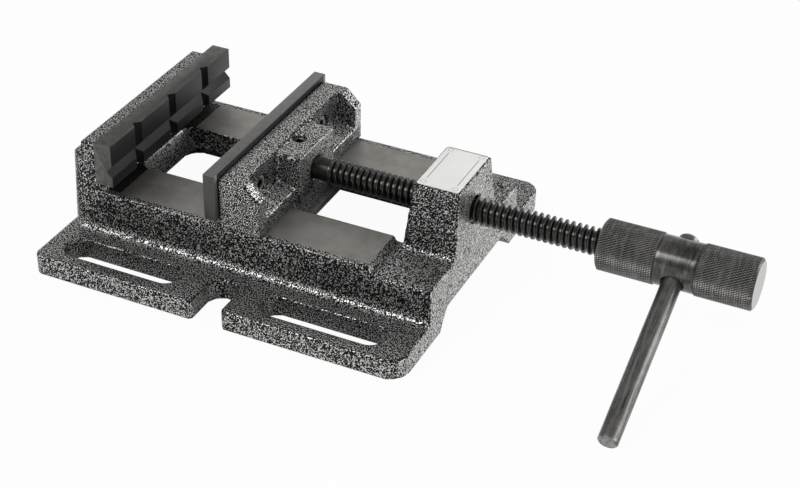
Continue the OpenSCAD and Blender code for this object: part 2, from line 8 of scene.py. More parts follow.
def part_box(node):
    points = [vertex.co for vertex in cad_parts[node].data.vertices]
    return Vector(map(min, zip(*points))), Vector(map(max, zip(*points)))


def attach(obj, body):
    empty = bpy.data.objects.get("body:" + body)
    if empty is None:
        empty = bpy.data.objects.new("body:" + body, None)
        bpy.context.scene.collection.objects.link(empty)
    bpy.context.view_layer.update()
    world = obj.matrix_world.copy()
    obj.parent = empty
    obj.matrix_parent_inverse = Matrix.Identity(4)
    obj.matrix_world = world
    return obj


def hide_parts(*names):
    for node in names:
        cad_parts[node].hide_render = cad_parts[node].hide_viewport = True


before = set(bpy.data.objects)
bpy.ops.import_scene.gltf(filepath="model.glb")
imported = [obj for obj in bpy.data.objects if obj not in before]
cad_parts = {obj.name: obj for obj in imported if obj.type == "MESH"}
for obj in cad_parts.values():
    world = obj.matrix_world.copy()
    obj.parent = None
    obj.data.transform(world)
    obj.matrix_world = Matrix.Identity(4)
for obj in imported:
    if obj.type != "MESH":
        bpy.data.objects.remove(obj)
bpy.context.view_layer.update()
scene = bpy.context.scene
scene.view_settings.view_transform = "Standard"
mm = 0.001
turn = 2 * math.pi


# Mesh helpers

def linked(name, data):
    made = bpy.data.objects.new(name, data)
    scene.collection.objects.link(made)
    return made


# Quads of a grid of rings: each joins neighbours round a ring and the next ring, closing at the last column
def ringQuads(rows, cols):
    i, k = np.meshgrid(np.arange(rows - 1), np.arange(cols), indexing="ij")
    i, k = i.ravel(), k.ravel()
    n = (k + 1) % cols
    return np.stack([i * cols + k, i * cols + n, (i + 1) * cols + n, (i + 1) * cols + k], axis=1)


# A stack of rings along +X: row i lies at along[i] and has radius[i, k] at angle[i, k] from +Y towards +Z
def ringStack(along, radius, angle):
    rows, cols = radius.shape
    x = np.repeat(np.asarray(along, float)[:, None], cols, axis=1)
    verts = np.stack([x, radius * np.cos(angle), radius * np.sin(angle)], axis=2).reshape(-1, 3)
    faces = ringQuads(rows, cols).tolist()
    faces.append(list(range(cols))[::-1])
    faces.append(list(range((rows - 1) * cols, rows * cols)))
    return verts, faces


def roundAngles(cols):
    return np.arange(cols) * turn / cols


# Turned shape: rows of place along and radius, where the radius is one number or one for each angle round
def turned(rows, cols):
    along = [row[0] for row in rows]
    radius = np.stack([np.broadcast_to(row[1], cols) for row in rows])
    return ringStack(along, radius, np.broadcast_to(roundAngles(cols), radius.shape))


# Radius of a hexagon of the given size across flats, as a function of the angle round it
def hexRadius(acrossFlats, angle):
    wrapped = np.mod(angle + math.pi / 6, math.pi / 3) - math.pi / 6
    return acrossFlats / 2 / np.cos(wrapped)


# Turns points from their own +X axis to a direction, and moves them to a place
def laidAlong(verts, direction, place):
    quat = Vector((1, 0, 0)).rotation_difference(Vector(direction))
    return (np.array(quat.to_matrix()) @ verts.T).T + np.asarray(place, float)


def finishMesh(mesh, material, sharpAngle):
    mesh.materials.clear()
    mesh.materials.append(material)
    mesh.polygons.foreach_set("use_smooth", np.ones(len(mesh.polygons), bool))
    if sharpAngle is not None:
        mesh.set_sharp_from_angle(angle=math.radians(sharpAngle))
    mesh.update()


def dress(piece, material, body, nodes, sharpAngle):
    finishMesh(piece.data, material, sharpAngle)
    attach(piece, body)
    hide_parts(*nodes)
    return piece


def newPiece(name, verts, faces, material, body, nodes, sharpAngle=30):
    mesh = bpy.data.meshes.new(name)
    mesh.from_pydata((verts * mm).tolist(), [], faces)
    mesh.validate()
    return dress(linked(name, mesh), material, body, nodes, sharpAngle)


# The evaluated mesh of an object with its modifiers, as a plain mesh
def baked(piece):
    graph = bpy.context.evaluated_depsgraph_get()
    graph.update()
    return bpy.data.meshes.new_from_object(piece.evaluated_get(graph))


joining = {"within": 2e-6, "flat": 0.5}  # m between points, degrees between faces


# A copy of a frame node whose loose triangles are joined, and whose flat areas are single faces if asked
def joinedCopy(node, name, flatten):
    bm = bmesh.new()
    bm.from_mesh(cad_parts[node].data)
    bmesh.ops.remove_doubles(bm, verts=bm.verts, dist=joining["within"])
    if flatten:
        limit = math.radians(joining["flat"])
        bmesh.ops.dissolve_limit(bm, angle_limit=limit, verts=bm.verts, edges=bm.edges)
    mesh = bpy.data.meshes.new(name)
    bm.to_mesh(mesh)
    bm.free()
    return linked(name, mesh)


# Each point moves half of the way to the mean of its neighbours, times its own weight
def relax(mesh, rounds, weight):
    count = len(mesh.vertices)
    spots = np.empty(count * 3, np.float32)
    mesh.vertices.foreach_get("co", spots)
    spots = spots.reshape(-1, 3).astype(float)
    ends = np.empty(len(mesh.edges) * 2, np.int32)
    mesh.edges.foreach_get("vertices", ends)
    a, b = ends.reshape(-1, 2).T
    degree = np.maximum(np.bincount(a, minlength=count) + np.bincount(b, minlength=count), 1)
    share = 0.5 * weight(spots)
    for _ in range(rounds):
        total = np.stack([
            np.bincount(a, spots[b, axis], count) + np.bincount(b, spots[a, axis], count) for axis in range(3)
        ], axis=1)
        spots = spots + (total / degree[:, None] - spots) * share[:, None]
    mesh.vertices.foreach_set("co", spots.astype(np.float32).ravel())
    mesh.update()


# Material helpers

def setInputs(tree, made, inputs):
    for key, value in inputs.items():
        if isinstance(value, bpy.types.NodeSocket):
            tree.links.new(value, made.inputs[key])
        else:
            made.inputs[key].default_value = value


def put(tree, kind, inputs=None, **props):
    made = tree.nodes.new("ShaderNode" + kind)
    for key, value in props.items():
        setattr(made, key, value)
    setInputs(tree, made, inputs or {})
    return made


def calc(tree, operation, a, b=0.0, clamp=False):
    return put(tree, "Math", {0: a, 1: b}, operation=operation, use_clamp=clamp).outputs[0]


def times(tree, value, *others):
    for other in others:
        value = calc(tree, "MULTIPLY", value, other)
    return value


def minus(tree, a, b):
    return calc(tree, "SUBTRACT", a, b)


def inverse(tree, value):
    return minus(tree, 1.0, value)


def absolute(tree, value):
    return calc(tree, "ABSOLUTE", value)


def apart(tree, a, b):
    return absolute(tree, minus(tree, a, b))


def below(tree, value, limit):
    return calc(tree, "LESS_THAN", value, limit)


# 0 below low, 1 above high, and a smooth rise between
def rise(tree, value, low, high):
    inputs = {"Value": value, "From Min": low, "From Max": high}
    return put(tree, "MapRange", inputs, interpolation_type="SMOOTHSTEP").outputs["Result"]


def fall(tree, value, low, high):
    return inverse(tree, rise(tree, value, low, high))


# A Mix node has its two colours in sockets 6 and 7, and puts their blend out in socket 2
def blendColor(tree, factor, a, b):
    a, b = (value if isinstance(value, bpy.types.NodeSocket) else (*value, 1) for value in (a, b))
    return put(tree, "Mix", {"Factor": factor, 6: a, 7: b}, data_type="RGBA").outputs[2]


def blendValue(tree, factor, a, b):
    return put(tree, "Mix", {"Factor": factor, "A": a, "B": b}, data_type="FLOAT").outputs["Result"]


def noise(tree, place, scale, detail, **more):
    return put(tree, "TexNoise", {"Vector": place, "Scale": scale, "Detail": detail, **more}).outputs["Fac"]


def axes(tree, vector):
    return put(tree, "SeparateXYZ", {"Vector": vector}).outputs


def whereAndFacing(tree, coords):
    return axes(tree, coords["Object"]), axes(tree, coords["Normal"])


def bumped(tree, height, strength, distance):
    return put(tree, "Bump", {"Height": height, "Strength": strength, "Distance": distance}).outputs["Normal"]


def newGroup(name, inputs, outputs):
    group = bpy.data.node_groups.new(name, "ShaderNodeTree")
    for label, kind, value in inputs:
        socket = group.interface.new_socket(name=label, in_out="INPUT", socket_type="NodeSocket" + kind)
        if value is not None:
            socket.default_value = value
    for label, kind in outputs:
        group.interface.new_socket(name=label, in_out="OUTPUT", socket_type="NodeSocket" + kind)
    return group, group.nodes.new("NodeGroupInput"), group.nodes.new("NodeGroupOutput")


def placed(tree, group, inputs):
    return put(tree, "Group", inputs, node_tree=group).outputs


def newMaterial(name):
    material = bpy.data.materials.new(name)
    material.use_nodes = True
    tree = material.node_tree
    return material, tree, tree.nodes["Principled BSDF"]


# Camera and studio

view = {
    "target": (53.2, 0.0, 11.23),  # mm, where the lens points
    "azimuth": 24.65, "elevation": 33.83, "roll": 1.17,  # degrees
    "distance": 775.99,  # mm
    "sensor": 36, "lens": 80.56,
    "clip": (0.01, 100),  # m
}


# The camera stands back from the target along azimuth and elevation, then rolls about its own line of sight
def makeCamera():
    a, e, roll = (math.radians(view[k]) for k in ("azimuth", "elevation", "roll"))
    back = Vector((math.sin(a) * math.cos(e), -math.cos(a) * math.cos(e), math.sin(e)))
    right = Vector((math.cos(a), math.sin(a), 0))
    up = back.cross(right)
    rolledRight = right * math.cos(roll) + up * math.sin(roll)
    rolledUp = up * math.cos(roll) - right * math.sin(roll)
    place = (Vector(view["target"]) + back * view["distance"]) * mm
    data = bpy.data.cameras.new("photoCamera")
    data.sensor_width = view["sensor"]
    data.lens = view["lens"]
    data.clip_start, data.clip_end = view["clip"]
    camera = linked("photoCamera", data)
    facing = Matrix((rolledRight, rolledUp, back)).transposed().to_4x4()
    camera.matrix_world = Matrix.Translation(place) @ facing
    scene.camera = camera


studio = {
    "skyLevel": 0.42,
    "lamps": [
        # name, place m, aimed at m, width, height, watts
        ("rightSoftbox", (1.12, 0.62, 0.46), (0.05, 0.0, 0.03), 1.0, 0.7, 7.5),
        ("topSoftbox", (-0.84, -1.34, 1.84), (0.03, 0.0, 0.0), 1.26, 1.04, 21.0),
        ("backSoftbox", (-0.42, 0.90, 0.67), (0.03, 0.0, 0.03), 1.0, 0.8, 0.8),
    ],
}


def makeLamps():
    for name, place, aim, wide, high, watts in studio["lamps"]:
        data = bpy.data.lights.new(name, "AREA")
        data.shape = "RECTANGLE"
        data.size = wide
        data.size_y = high
        data.energy = watts
        lamp = linked(name, data)
        lamp.location = place
        lamp.rotation_euler = (Vector(aim) - Vector(place)).to_track_quat("-Z", "Y").to_euler()
        lamp.visible_camera = False
    world = bpy.data.worlds.new("studioSky")
    world.use_nodes = True
    sky = world.node_tree.nodes["Background"].inputs
    sky["Color"].default_value = (1, 1, 1, 1)
    sky["Strength"].default_value = studio["skyLevel"]
    scene.world = world


sweep = {
    "pale": (0.82, 0.82, 0.81),
    "light": (0.86, 0.86, 0.85),
    "grain": (30.0, 3.0),  # scale and detail of its unevenness
    "flat": (0.05, 2.6, 12),  # m, radii and number of the rings
    "cove": (3.2, 9.0, 14),
    "coveHeight": 2.2, "cols": 96,
    "drop": 0.0003,  # m below the feet
    "glowSeen": 0.955,  # share of plain white that the lens and reflections see
    "glowCast": 0.40,  # share that lights the work, as a white table does
    "footprint": ((0.002, 0.0), (0.0875, 0.076)),  # m, middle and half size of what stands on the floor
    "footprintEdge": (0.9, 1.05),
}


# White sweep: flat rings, then a cove that climbs with the square of the distance. It shows the lens and
# reflections most of plain white, and keeps the shadow in the rest
def makeFloor():
    s = sweep
    reach = np.concatenate([np.linspace(*s["flat"]), np.linspace(*s["cove"])])
    flatTo, coveTo = s["flat"][1], s["cove"][1]
    climb = np.clip((reach - flatTo) / (coveTo - flatTo), 0, 1)
    height = s["coveHeight"] * climb ** 2 - s["drop"]
    angle = roundAngles(s["cols"])
    flatX, flatY = reach[:, None] * np.cos(angle), reach[:, None] * np.sin(angle)
    verts = np.stack([flatX, flatY, np.broadcast_to(height[:, None], flatX.shape)], axis=2).reshape(-1, 3)
    faces = ringQuads(len(reach), s["cols"])[:, ::-1].tolist() + [list(range(s["cols"]))]
    mesh = bpy.data.meshes.new("whiteSweep")
    mesh.from_pydata(verts.tolist(), [], faces)
    floor = linked("whiteSweep", mesh)
    material, tree, shader = newMaterial("whiteSweep")
    tree.nodes.remove(shader)
    place = put(tree, "TexCoord").outputs["Object"]
    tone = blendColor(tree, noise(tree, place, *s["grain"]), s["pale"], s["light"])
    path = put(tree, "LightPath").outputs
    # Under the base the floor lies in the dark, so no glow comes from there
    middle, half = s["footprint"]
    spot = axes(tree, place)
    off = (calc(tree, "DIVIDE", apart(tree, spot[axis], middle[axis]), half[axis]) for axis in (0, 1))
    clear = rise(tree, calc(tree, "MAXIMUM", *off), *s["footprintEdge"])
    mirrored = calc(tree, "MAXIMUM", path["Is Glossy Ray"], path["Is Transmission Ray"])
    cast = times(tree, blendValue(tree, mirrored, s["glowCast"], s["glowSeen"]), clear)
    share = blendValue(tree, path["Is Camera Ray"], cast, s["glowSeen"])
    matt = put(tree, "BsdfDiffuse", {"Color": tone}).outputs["BSDF"]
    glow = put(tree, "Emission", {"Strength": 1.0}).outputs["Emission"]
    mixed = put(tree, "MixShader", {0: share, 1: matt, 2: glow}).outputs["Shader"]
    tree.links.new(mixed, tree.nodes["Material Output"].inputs["Surface"])
    finishMesh(mesh, material, None)


# Shared effects

veins = {
    "hollow": (0.44, 0.485),  # bend of the surface in a hollow corner
    # a hollow corner gets more silver as a painted highlight, and an outer edge less as a painted shade
    "hollowGain": 0.04,
    "edge": (0.515, 0.55),  # and on an outer edge
    "edgeLoss": 0.10,
    "stretch": (1.0, 0.74, 0.95),  # the worms run across
    "distortion": 0.3,
    "slow": (60.0, 2.0),  # scale and detail of the drift in their share
    "drift": 0.03,
    "cut": (-0.02, 0.035),  # softness of a worm's edge
    "swell": (-0.12, 0.14),  # and of its height
}


# Vein paint: noise cut near its middle gives silver worms on black, whose share drifts slowly. Hollow corners
# get more and brighter silver, a painted highlight, and outer edges less, a painted shade; the bend of the
# surface tells them apart
def makeVeinGroup():
    group, given, taken = newGroup("veinPaint", [
        ("Place", "Vector", None), ("Scale", "Float", 900.0), ("Balance", "Float", 0.5),
    ], [("Silver", "Float"), ("Height", "Float"), ("SilverHighlight", "Float")])
    place, scale, balance = (given.outputs[k] for k in ("Place", "Scale", "Balance"))
    bend = put(group, "NewGeometry").outputs["Pointiness"]
    silverHighlight = fall(group, bend, *veins["hollow"])
    loss = times(group, rise(group, bend, *veins["edge"]), veins["edgeLoss"])
    shift = minus(group, times(group, silverHighlight, veins["hollowGain"]), loss)
    drawn = put(group, "Mapping", {"Vector": place, "Scale": veins["stretch"]}).outputs["Vector"]
    worm = noise(group, drawn, scale, 0.0, Distortion=veins["distortion"])
    slow = noise(group, place, *veins["slow"])
    middle = calc(group, "ADD", balance, times(group, minus(group, slow, 0.5), veins["drift"]))
    lifted = calc(group, "ADD", minus(group, worm, middle), shift)
    silver, height = rise(group, lifted, *veins["cut"]), rise(group, lifted, *veins["swell"])
    setInputs(group, taken, {"Silver": silver, "Height": height, "SilverHighlight": silverHighlight})
    return group


toolMarks = {"lines": (1.0, 3.0), "blotch": (85.0, 4.0), "roughness": 0.6}  # scale and detail of each


# Tool marks: noise drawn out along one axis, so that it reads as fine lines, and slower blotches
def makeLinesGroup():
    group, given, taken = newGroup("toolLines", [
        ("Place", "Vector", None), ("Stretch", "Vector", (40.0, 2500.0, 2500.0)),
        ("Turn", "Vector", (0.0, 0.0, 0.0)),
    ], [("Lines", "Float"), ("Blotch", "Float")])
    place, stretch, lean = (given.outputs[k] for k in ("Place", "Stretch", "Turn"))
    leant = put(group, "Mapping", {"Vector": place, "Rotation": lean}).outputs["Vector"]
    drawn = put(group, "VectorMath", {0: leant, 1: stretch}, operation="MULTIPLY").outputs["Vector"]
    rough = toolMarks["roughness"]
    lines = noise(group, drawn, *toolMarks["lines"], Roughness=rough)
    blotch = noise(group, place, *toolMarks["blotch"], Roughness=rough)
    setInputs(group, taken, {"Lines": lines, "Blotch": blotch})
    return group


edgeWear = {"rub": (420.0, 3.0), "rimLit": (0.3, 0.62)}


# Worn edges: where the surface bends outwards, broken up by noise
def makeWearGroup():
    group, given, taken = newGroup("edgeWear", [
        ("Place", "Vector", None), ("Low", "Float", 0.51), ("High", "Float", 0.58),
    ], [("Worn", "Float")])
    place, low, high = (given.outputs[k] for k in ("Place", "Low", "High"))
    bend = put(group, "NewGeometry").outputs["Pointiness"]
    edge = put(group, "MapRange", {"Value": bend, "From Min": low, "From Max": high}).outputs["Result"]
    rub = rise(group, noise(group, place, *edgeWear["rub"]), *edgeWear["rimLit"])
    setInputs(group, taken, {"Worn": calc(group, "MULTIPLY", edge, rub, clamp=True)})
    return group


# Paint of the castings

basePaintLook = {
    "ground": (0.006, 0.006, 0.006),
    "silver": (0.61, 0.61, 0.594),
    "bright": (0.98, 0.98, 0.96),  # silver of the painted highlights
    "scale": 2020.0,
    "balance": 0.570,
    "litEndGain": 0.082,  # painted light, as shifts of the balance: on faces towards the handle,
    "litTopGain": 0.014,  # on level tops,
    "shadedSideLoss": 0.046,  # as painted shade on the long upright sides,
    "shadedSideFrom": (0.011, 0.014),  # m, above the flange,
    "shadeLoss": 0.030,  # in painted shade,
    "highlightGain": 0.05,  # and on the painted highlight of the pockets' floors
    "shadeFade": 0.38,  # share of the silver that painted shade takes away
    "paintRough": (0.28, 0.32),  # ground and silver
    "metallic": 0.85, "relief": 0.00007, "bump": 0.6, "gloss": 0.1,
    "ways": (0.36, 0.345, 0.322), "waysDark": (0.275, 0.261, 0.243), "wayStretch": (60.0, 1700.0, 900.0),
    "wayStreak": 0.2,  # share of the lines in its shade
    "wayShade": (0.34, 0.64), "wayRough": (0.44, 0.52), "wayRelief": 0.06,
}
# The jaw's paint is a lighter copy of the base's, painted light for its lit tops, with less painted shade on
# its sides
litJawPaintLook = dict(basePaintLook, ground=(0.014, 0.014, 0.014), silver=(0.78, 0.78, 0.76), shadedSideLoss=0.018)
facingEdge = (0.6, 0.85)  # part of a direction from which a face counts as facing that way


# Painted light: faces towards the handle and tops get more silver and the long upright sides less, as the
# lamps light them
def paintedLightByFacing(tree, coords, look):
    spot, facing = whereAndFacing(tree, coords)
    ends = times(tree, rise(tree, facing["X"], *facingEdge), look["litEndGain"])
    tops = times(tree, rise(tree, facing["Z"], *facingEdge), look["litTopGain"])
    sides = rise(tree, absolute(tree, facing["Y"]), *facingEdge)
    loss = times(tree, sides, rise(tree, spot["Z"], *look["shadedSideFrom"]), look["shadedSideLoss"])
    return calc(tree, "ADD", tops, minus(tree, ends, loss))


# Painted casting: masks tell the cut faces left bare, painted shade on walls and recesses, and painted
# highlight on floors
def makePaint(name, look, bareOf, shadeOf, highlightOf=None):
    material, tree, shader = newMaterial(name)
    coords = put(tree, "TexCoord").outputs
    place = coords["Object"]
    bare = bareOf(tree, coords)
    # thin is the painted shade mask: it lowers the silver's share and takes silver away
    thin = shadeOf(tree, coords)
    # the painted light by facing is held back where painted shade lies
    lean = times(tree, paintedLightByFacing(tree, coords, look), inverse(tree, thin))
    loss = minus(tree, times(tree, thin, look["shadeLoss"]), lean)
    balance = calc(tree, "ADD", loss, look["balance"])
    # a painted highlight on the floors adds silver and makes it brighter
    if highlightOf:
        floorHighlight = highlightOf(tree, coords)
        balance = minus(tree, balance, times(tree, floorHighlight, look["highlightGain"]))
    vein = placed(tree, groups["vein"], {"Place": place, "Scale": look["scale"], "Balance": balance})
    lines = placed(tree, groups["lines"], {"Place": place, "Stretch": look["wayStretch"]})
    silver = times(tree, vein["Silver"], inverse(tree, times(tree, thin, look["shadeFade"])))
    silverHighlight = calc(tree, "MAXIMUM", vein["SilverHighlight"], floorHighlight) if highlightOf else vein["SilverHighlight"]
    flake = blendColor(tree, silverHighlight, look["silver"], look["bright"])
    painted = blendColor(tree, silver, look["ground"], flake)
    streak = times(tree, lines["Lines"], look["wayStreak"])
    shade = calc(tree, "ADD", streak, times(tree, lines["Blotch"], 1 - look["wayStreak"]))
    metal = blendColor(tree, rise(tree, shade, *look["wayShade"]), look["waysDark"], look["ways"])
    paintRough = blendValue(tree, silver, *look["paintRough"])
    metalRough = blendValue(tree, lines["Lines"], *look["wayRough"])
    metalHeight = times(tree, lines["Lines"], look["wayRelief"])
    height = blendValue(tree, bare, vein["Height"], metalHeight)
    setInputs(tree, shader, {
        "Base Color": blendColor(tree, bare, painted, metal),
        "Roughness": blendValue(tree, bare, paintRough, metalRough),
        "Metallic": blendValue(tree, bare, times(tree, silver, look["metallic"]), look["metallic"]),
        "Normal": bumped(tree, height, look["bump"], look["relief"]),
        "Specular IOR Level": look["gloss"],
    })
    return material


baseMarks = {
    # m, tops of the ways
    "waySide": (0.0431, 0.0437), "wayEnd": (0.0596, 0.0599), "wayFrom": (0.0286, 0.0288),
    "wayTo": (0.0296, 0.0300), "wayLevel": (0.90, 0.97), "soleTo": (0.0002, 0.0004),
    "wander": (500.0, 2.0), "ragged": 0.0016,  # noise in the paint's edge
    # m, dark strip on the ways at the fixed jaw's foot, painted shade under the plate with hardly any silver
    "foot": (-0.0603, -0.0600), "footTo": -0.0598, "footRagged": 0.4,
    "footLevel": (0.8, 0.95), "footShade": 2.2,
    # m, walls of the slots and notches, darkened as painted shade
    "slotSide": (0.050, 0.052), "slotOut": 0.0750, "slotMiddle": 0.002, "slotHalf": 0.085,
    "slotTop": 0.0092, "slotUpright": (0.3, 0.6), "slotShade": 0.25,
}


# Base: the flat tops of the ways between the dark strip and the nut block, and the soles of the feet
def baseBare(tree, coords):
    m = baseMarks
    spot, facing = whereAndFacing(tree, coords)
    wander = times(tree, minus(tree, noise(tree, coords["Object"], *m["wander"]), 0.5), m["ragged"])
    side = calc(tree, "ADD", absolute(tree, spot["Y"]), wander)
    inside = fall(tree, side, *m["waySide"])
    front = fall(tree, calc(tree, "ADD", spot["X"], wander), *m["wayEnd"])
    level = times(tree, rise(tree, facing["Z"], *m["wayLevel"]), rise(tree, spot["Z"], *m["wayFrom"]))
    low = fall(tree, spot["Z"], *m["wayTo"])
    start = calc(tree, "ADD", spot["X"], times(tree, wander, m["footRagged"]))
    ways = times(tree, inside, front, level, low, rise(tree, start, *m["foot"]))
    return calc(tree, "MAXIMUM", ways, fall(tree, spot["Z"], *m["soleTo"]))


# Base: painted shade on the upright walls of the slots and notches inside the flange, and on the strip at the
# jaw's foot
def baseShade(tree, coords):
    m = baseMarks
    spot, facing = whereAndFacing(tree, coords)
    side = absolute(tree, spot["Y"])
    upright = fall(tree, absolute(tree, facing["Z"]), *m["slotUpright"])
    across = times(tree, rise(tree, side, *m["slotSide"]), below(tree, side, m["slotOut"]))
    along = below(tree, apart(tree, spot["X"], m["slotMiddle"]), m["slotHalf"])
    walls = times(tree, upright, below(tree, spot["Z"], m["slotTop"]), across, along, m["slotShade"])
    level = times(tree, rise(tree, facing["Z"], *m["footLevel"]), below(tree, side, m["waySide"][0]))
    behind = times(tree, below(tree, spot["X"], m["footTo"]), below(tree, spot["Z"], m["wayTo"][1]))
    return calc(tree, "MAXIMUM", walls, times(tree, level, behind, m["footShade"]))


jawMarks = {
    "slideTo": (0.0290, 0.0293),  # m, height of the faces that run on the ways
    "tongueEnds": (0.35, 0.55),
    "pocketBack": 0.0042,  # m along
    # painted shade in the pockets, on the boss's sides and on the low back in the nut block's shadow
    "pocketShade": 1.0,
    "lowBack": 0.0352,  # m high
    "cheekOut": 0.0455,  # m across
    "cheekShade": 0.80,
    "highlightTo": 0.0385,  # m, height of the pockets' floors
    "highlightLevel": (0.3, 0.7),
}


# Sliding jaw: the underside that runs on the ways and the tongue's sides, not its front and back
def jawBare(tree, coords):
    spot, facing = whereAndFacing(tree, coords)
    low = fall(tree, spot["Z"], *jawMarks["slideTo"])
    return times(tree, low, fall(tree, absolute(tree, facing["X"]), *jawMarks["tongueEnds"]))


# Sliding jaw: painted shade on the pockets' back walls, and less on their sides, the boss's sides and the low
# back
def jawShade(tree, coords):
    m = jawMarks
    spot, facing = whereAndFacing(tree, coords)
    back = rise(tree, facing["X"], *facingEdge)
    walls = times(tree, back, below(tree, spot["X"], m["pocketBack"]), m["pocketShade"])
    across = rise(tree, absolute(tree, facing["Y"]), *facingEdge)
    cheek = times(tree, across, below(tree, absolute(tree, spot["Y"]), m["cheekOut"]))
    lowBack = times(tree, back, below(tree, spot["Z"], m["lowBack"]))
    lesser = times(tree, calc(tree, "MAXIMUM", lowBack, cheek), m["cheekShade"])
    return calc(tree, "MAXIMUM", walls, lesser)


# Sliding jaw: the floors of the pockets, painted lighter as a highlight
def jawFloorHighlight(tree, coords):
    spot, facing = whereAndFacing(tree, coords)
    level = rise(tree, facing["Z"], *jawMarks["highlightLevel"])
    return times(tree, level, below(tree, spot["Z"], jawMarks["highlightTo"]))


# Steels

steel = {"mottle": (0.34, 0.66), "streak": (0.42, 0.72), "relief": 0.00006}


# Steel: a dark ground broken by lines and blotches, lighter on worn edges. A piece's own finish comes on top
def makeSteel(name, look, finish=None):
    material, tree, shader = newMaterial(name)
    coords = put(tree, "TexCoord").outputs
    place = coords["Object"]
    lean = look.get("turn", (0, 0, 0))
    lines = placed(tree, groups["lines"], {"Place": place, "Stretch": look["stretch"], "Turn": lean})
    low, high = look["wear"]
    worn = placed(tree, groups["wear"], {"Place": place, "Low": low, "High": high})["Worn"]
    mottled = blendColor(tree, rise(tree, lines["Blotch"], *steel["mottle"]), look["dark"], look["mid"])
    streaked = blendColor(tree, rise(tree, lines["Lines"], *steel["streak"]), mottled, look["light"])
    color = blendColor(tree, worn, streaked, look["worn"])
    rough = blendValue(tree, lines["Lines"], *look["rough"])
    if finish:
        color, rough = finish(tree, look, coords, color, rough)
    setInputs(tree, shader, {
        "Base Color": color, "Roughness": rough, "Metallic": look["metallic"],
        "Normal": bumped(tree, lines["Lines"], look["bump"], steel["relief"]),
    })
    return material


plateLook = {
    "worn": (0.24, 0.237, 0.23), "wear": (0.53, 0.64), "metallic": 0.75,
    "stretch": (900.0, 60.0, 2600.0), "rough": (0.42, 0.52), "bump": 0.05,
}
# The fixed plate is a darker copy of the plate steel: painted shade
fixedPlateLook = dict(
    plateLook, dark=(0.064, 0.063, 0.061), mid=(0.076, 0.075, 0.073), light=(0.090, 0.089, 0.086),
    grip=(0.25, 0.5), gripShade=(0.040, 0.040, 0.039),  # the gripping face, in painted shade
    flank=(0.3, 0.6), levelShare=0.7, grooveShade=(0.010, 0.010, 0.010),  # flanks of its grooves, in painted shade
)
movingPlateLook = dict(
    plateLook, dark=(0.150, 0.148, 0.144), mid=(0.172, 0.170, 0.165), light=(0.188, 0.186, 0.181),
    # the back strip is a painted shadow of the gap against the jaw
    back=(-0.00872, -0.00867), backSide=0.0478, backShadow=(0.012, 0.012, 0.012), backRough=0.42,  # m
    end=(0.5, 0.8), endShare=0.8, endColor=(0.055, 0.054, 0.053),  # ends, in painted shade
)


# Fixed plate: painted shade darkens the gripping face, and the flanks of its grooves nearly to black
def fixedPlateShade(tree, look, coords, color, rough):
    facing = axes(tree, coords["Normal"])
    grip = rise(tree, facing["X"], *look["grip"])
    upright = rise(tree, absolute(tree, facing["Y"]), *look["flank"])
    level = times(tree, rise(tree, absolute(tree, facing["Z"]), *look["flank"]), look["levelShare"])
    flank = times(tree, grip, calc(tree, "MAXIMUM", upright, level))
    color = blendColor(tree, grip, color, look["gripShade"])
    return blendColor(tree, flank, color, look["grooveShade"]), rough


# Moving plate: a painted shadow on its back, which shows as a dark line behind its top edge, and painted
# shade on its ends
def movingPlateShade(tree, look, coords, color, rough):
    spot, facing = whereAndFacing(tree, coords)
    inside = below(tree, absolute(tree, spot["Y"]), look["backSide"])
    back = times(tree, rise(tree, spot["X"], *look["back"]), inside)
    color = blendColor(tree, back, color, look["backShadow"])
    end = times(tree, rise(tree, absolute(tree, facing["Y"]), *look["end"]), look["endShare"])
    return blendColor(tree, end, color, look["endColor"]), blendValue(tree, back, rough, look["backRough"])


fastenerLook = {
    "dark": (0.030, 0.030, 0.030), "mid": (0.05, 0.05, 0.05), "light": (0.08, 0.08, 0.08),
    "worn": (0.16, 0.16, 0.157), "wear": (0.51, 0.58), "metallic": 0.8,
    "stretch": (300.0, 1200.0, 1200.0), "rough": (0.28, 0.45), "bump": 0.1,
    "rimHighlight": (0.78, 0.78, 0.76),
}


# Fasteners: the rim of a head, marked on its points, is a painted highlight
def fastenerRimHighlight(tree, look, coords, color, rough):
    rim = put(tree, "Attribute", attribute_name="rim").outputs["Fac"]
    return blendColor(tree, rim, color, look["rimHighlight"]), rough


keeperLook = {
    "dark": (0.20, 0.195, 0.19), "mid": (0.26, 0.255, 0.245), "light": (0.34, 0.33, 0.32),
    "worn": (0.42, 0.42, 0.41), "wear": (0.52, 0.62), "metallic": 0.85,
    "stretch": (1400.0, 60.0, 1400.0), "rough": (0.36, 0.5), "bump": 0.15,
}
screwLook = {
    "dark": (0.028, 0.027, 0.026), "mid": (0.044, 0.043, 0.041), "light": (0.070, 0.068, 0.066),
    "worn": (0.18, 0.175, 0.17), "wear": (0.53, 0.64), "metallic": 0.75,
    "stretch": (2200.0, 300.0, 300.0), "rough": (0.13, 0.26), "bump": 0.1,
    "neckTo": (0.0202, 0.0205), "neckShade": (0.026, 0.026, 0.025), "neckRough": 0.36,  # m along
}


# Lead screw: the plain neck is evenly dark, painted shade by the jaw's back
def screwNeckShade(tree, look, coords, color, rough):
    past = rise(tree, axes(tree, coords["Object"])["X"], *look["neckTo"])
    return blendColor(tree, past, look["neckShade"], color), blendValue(tree, past, look["neckRough"], rough)


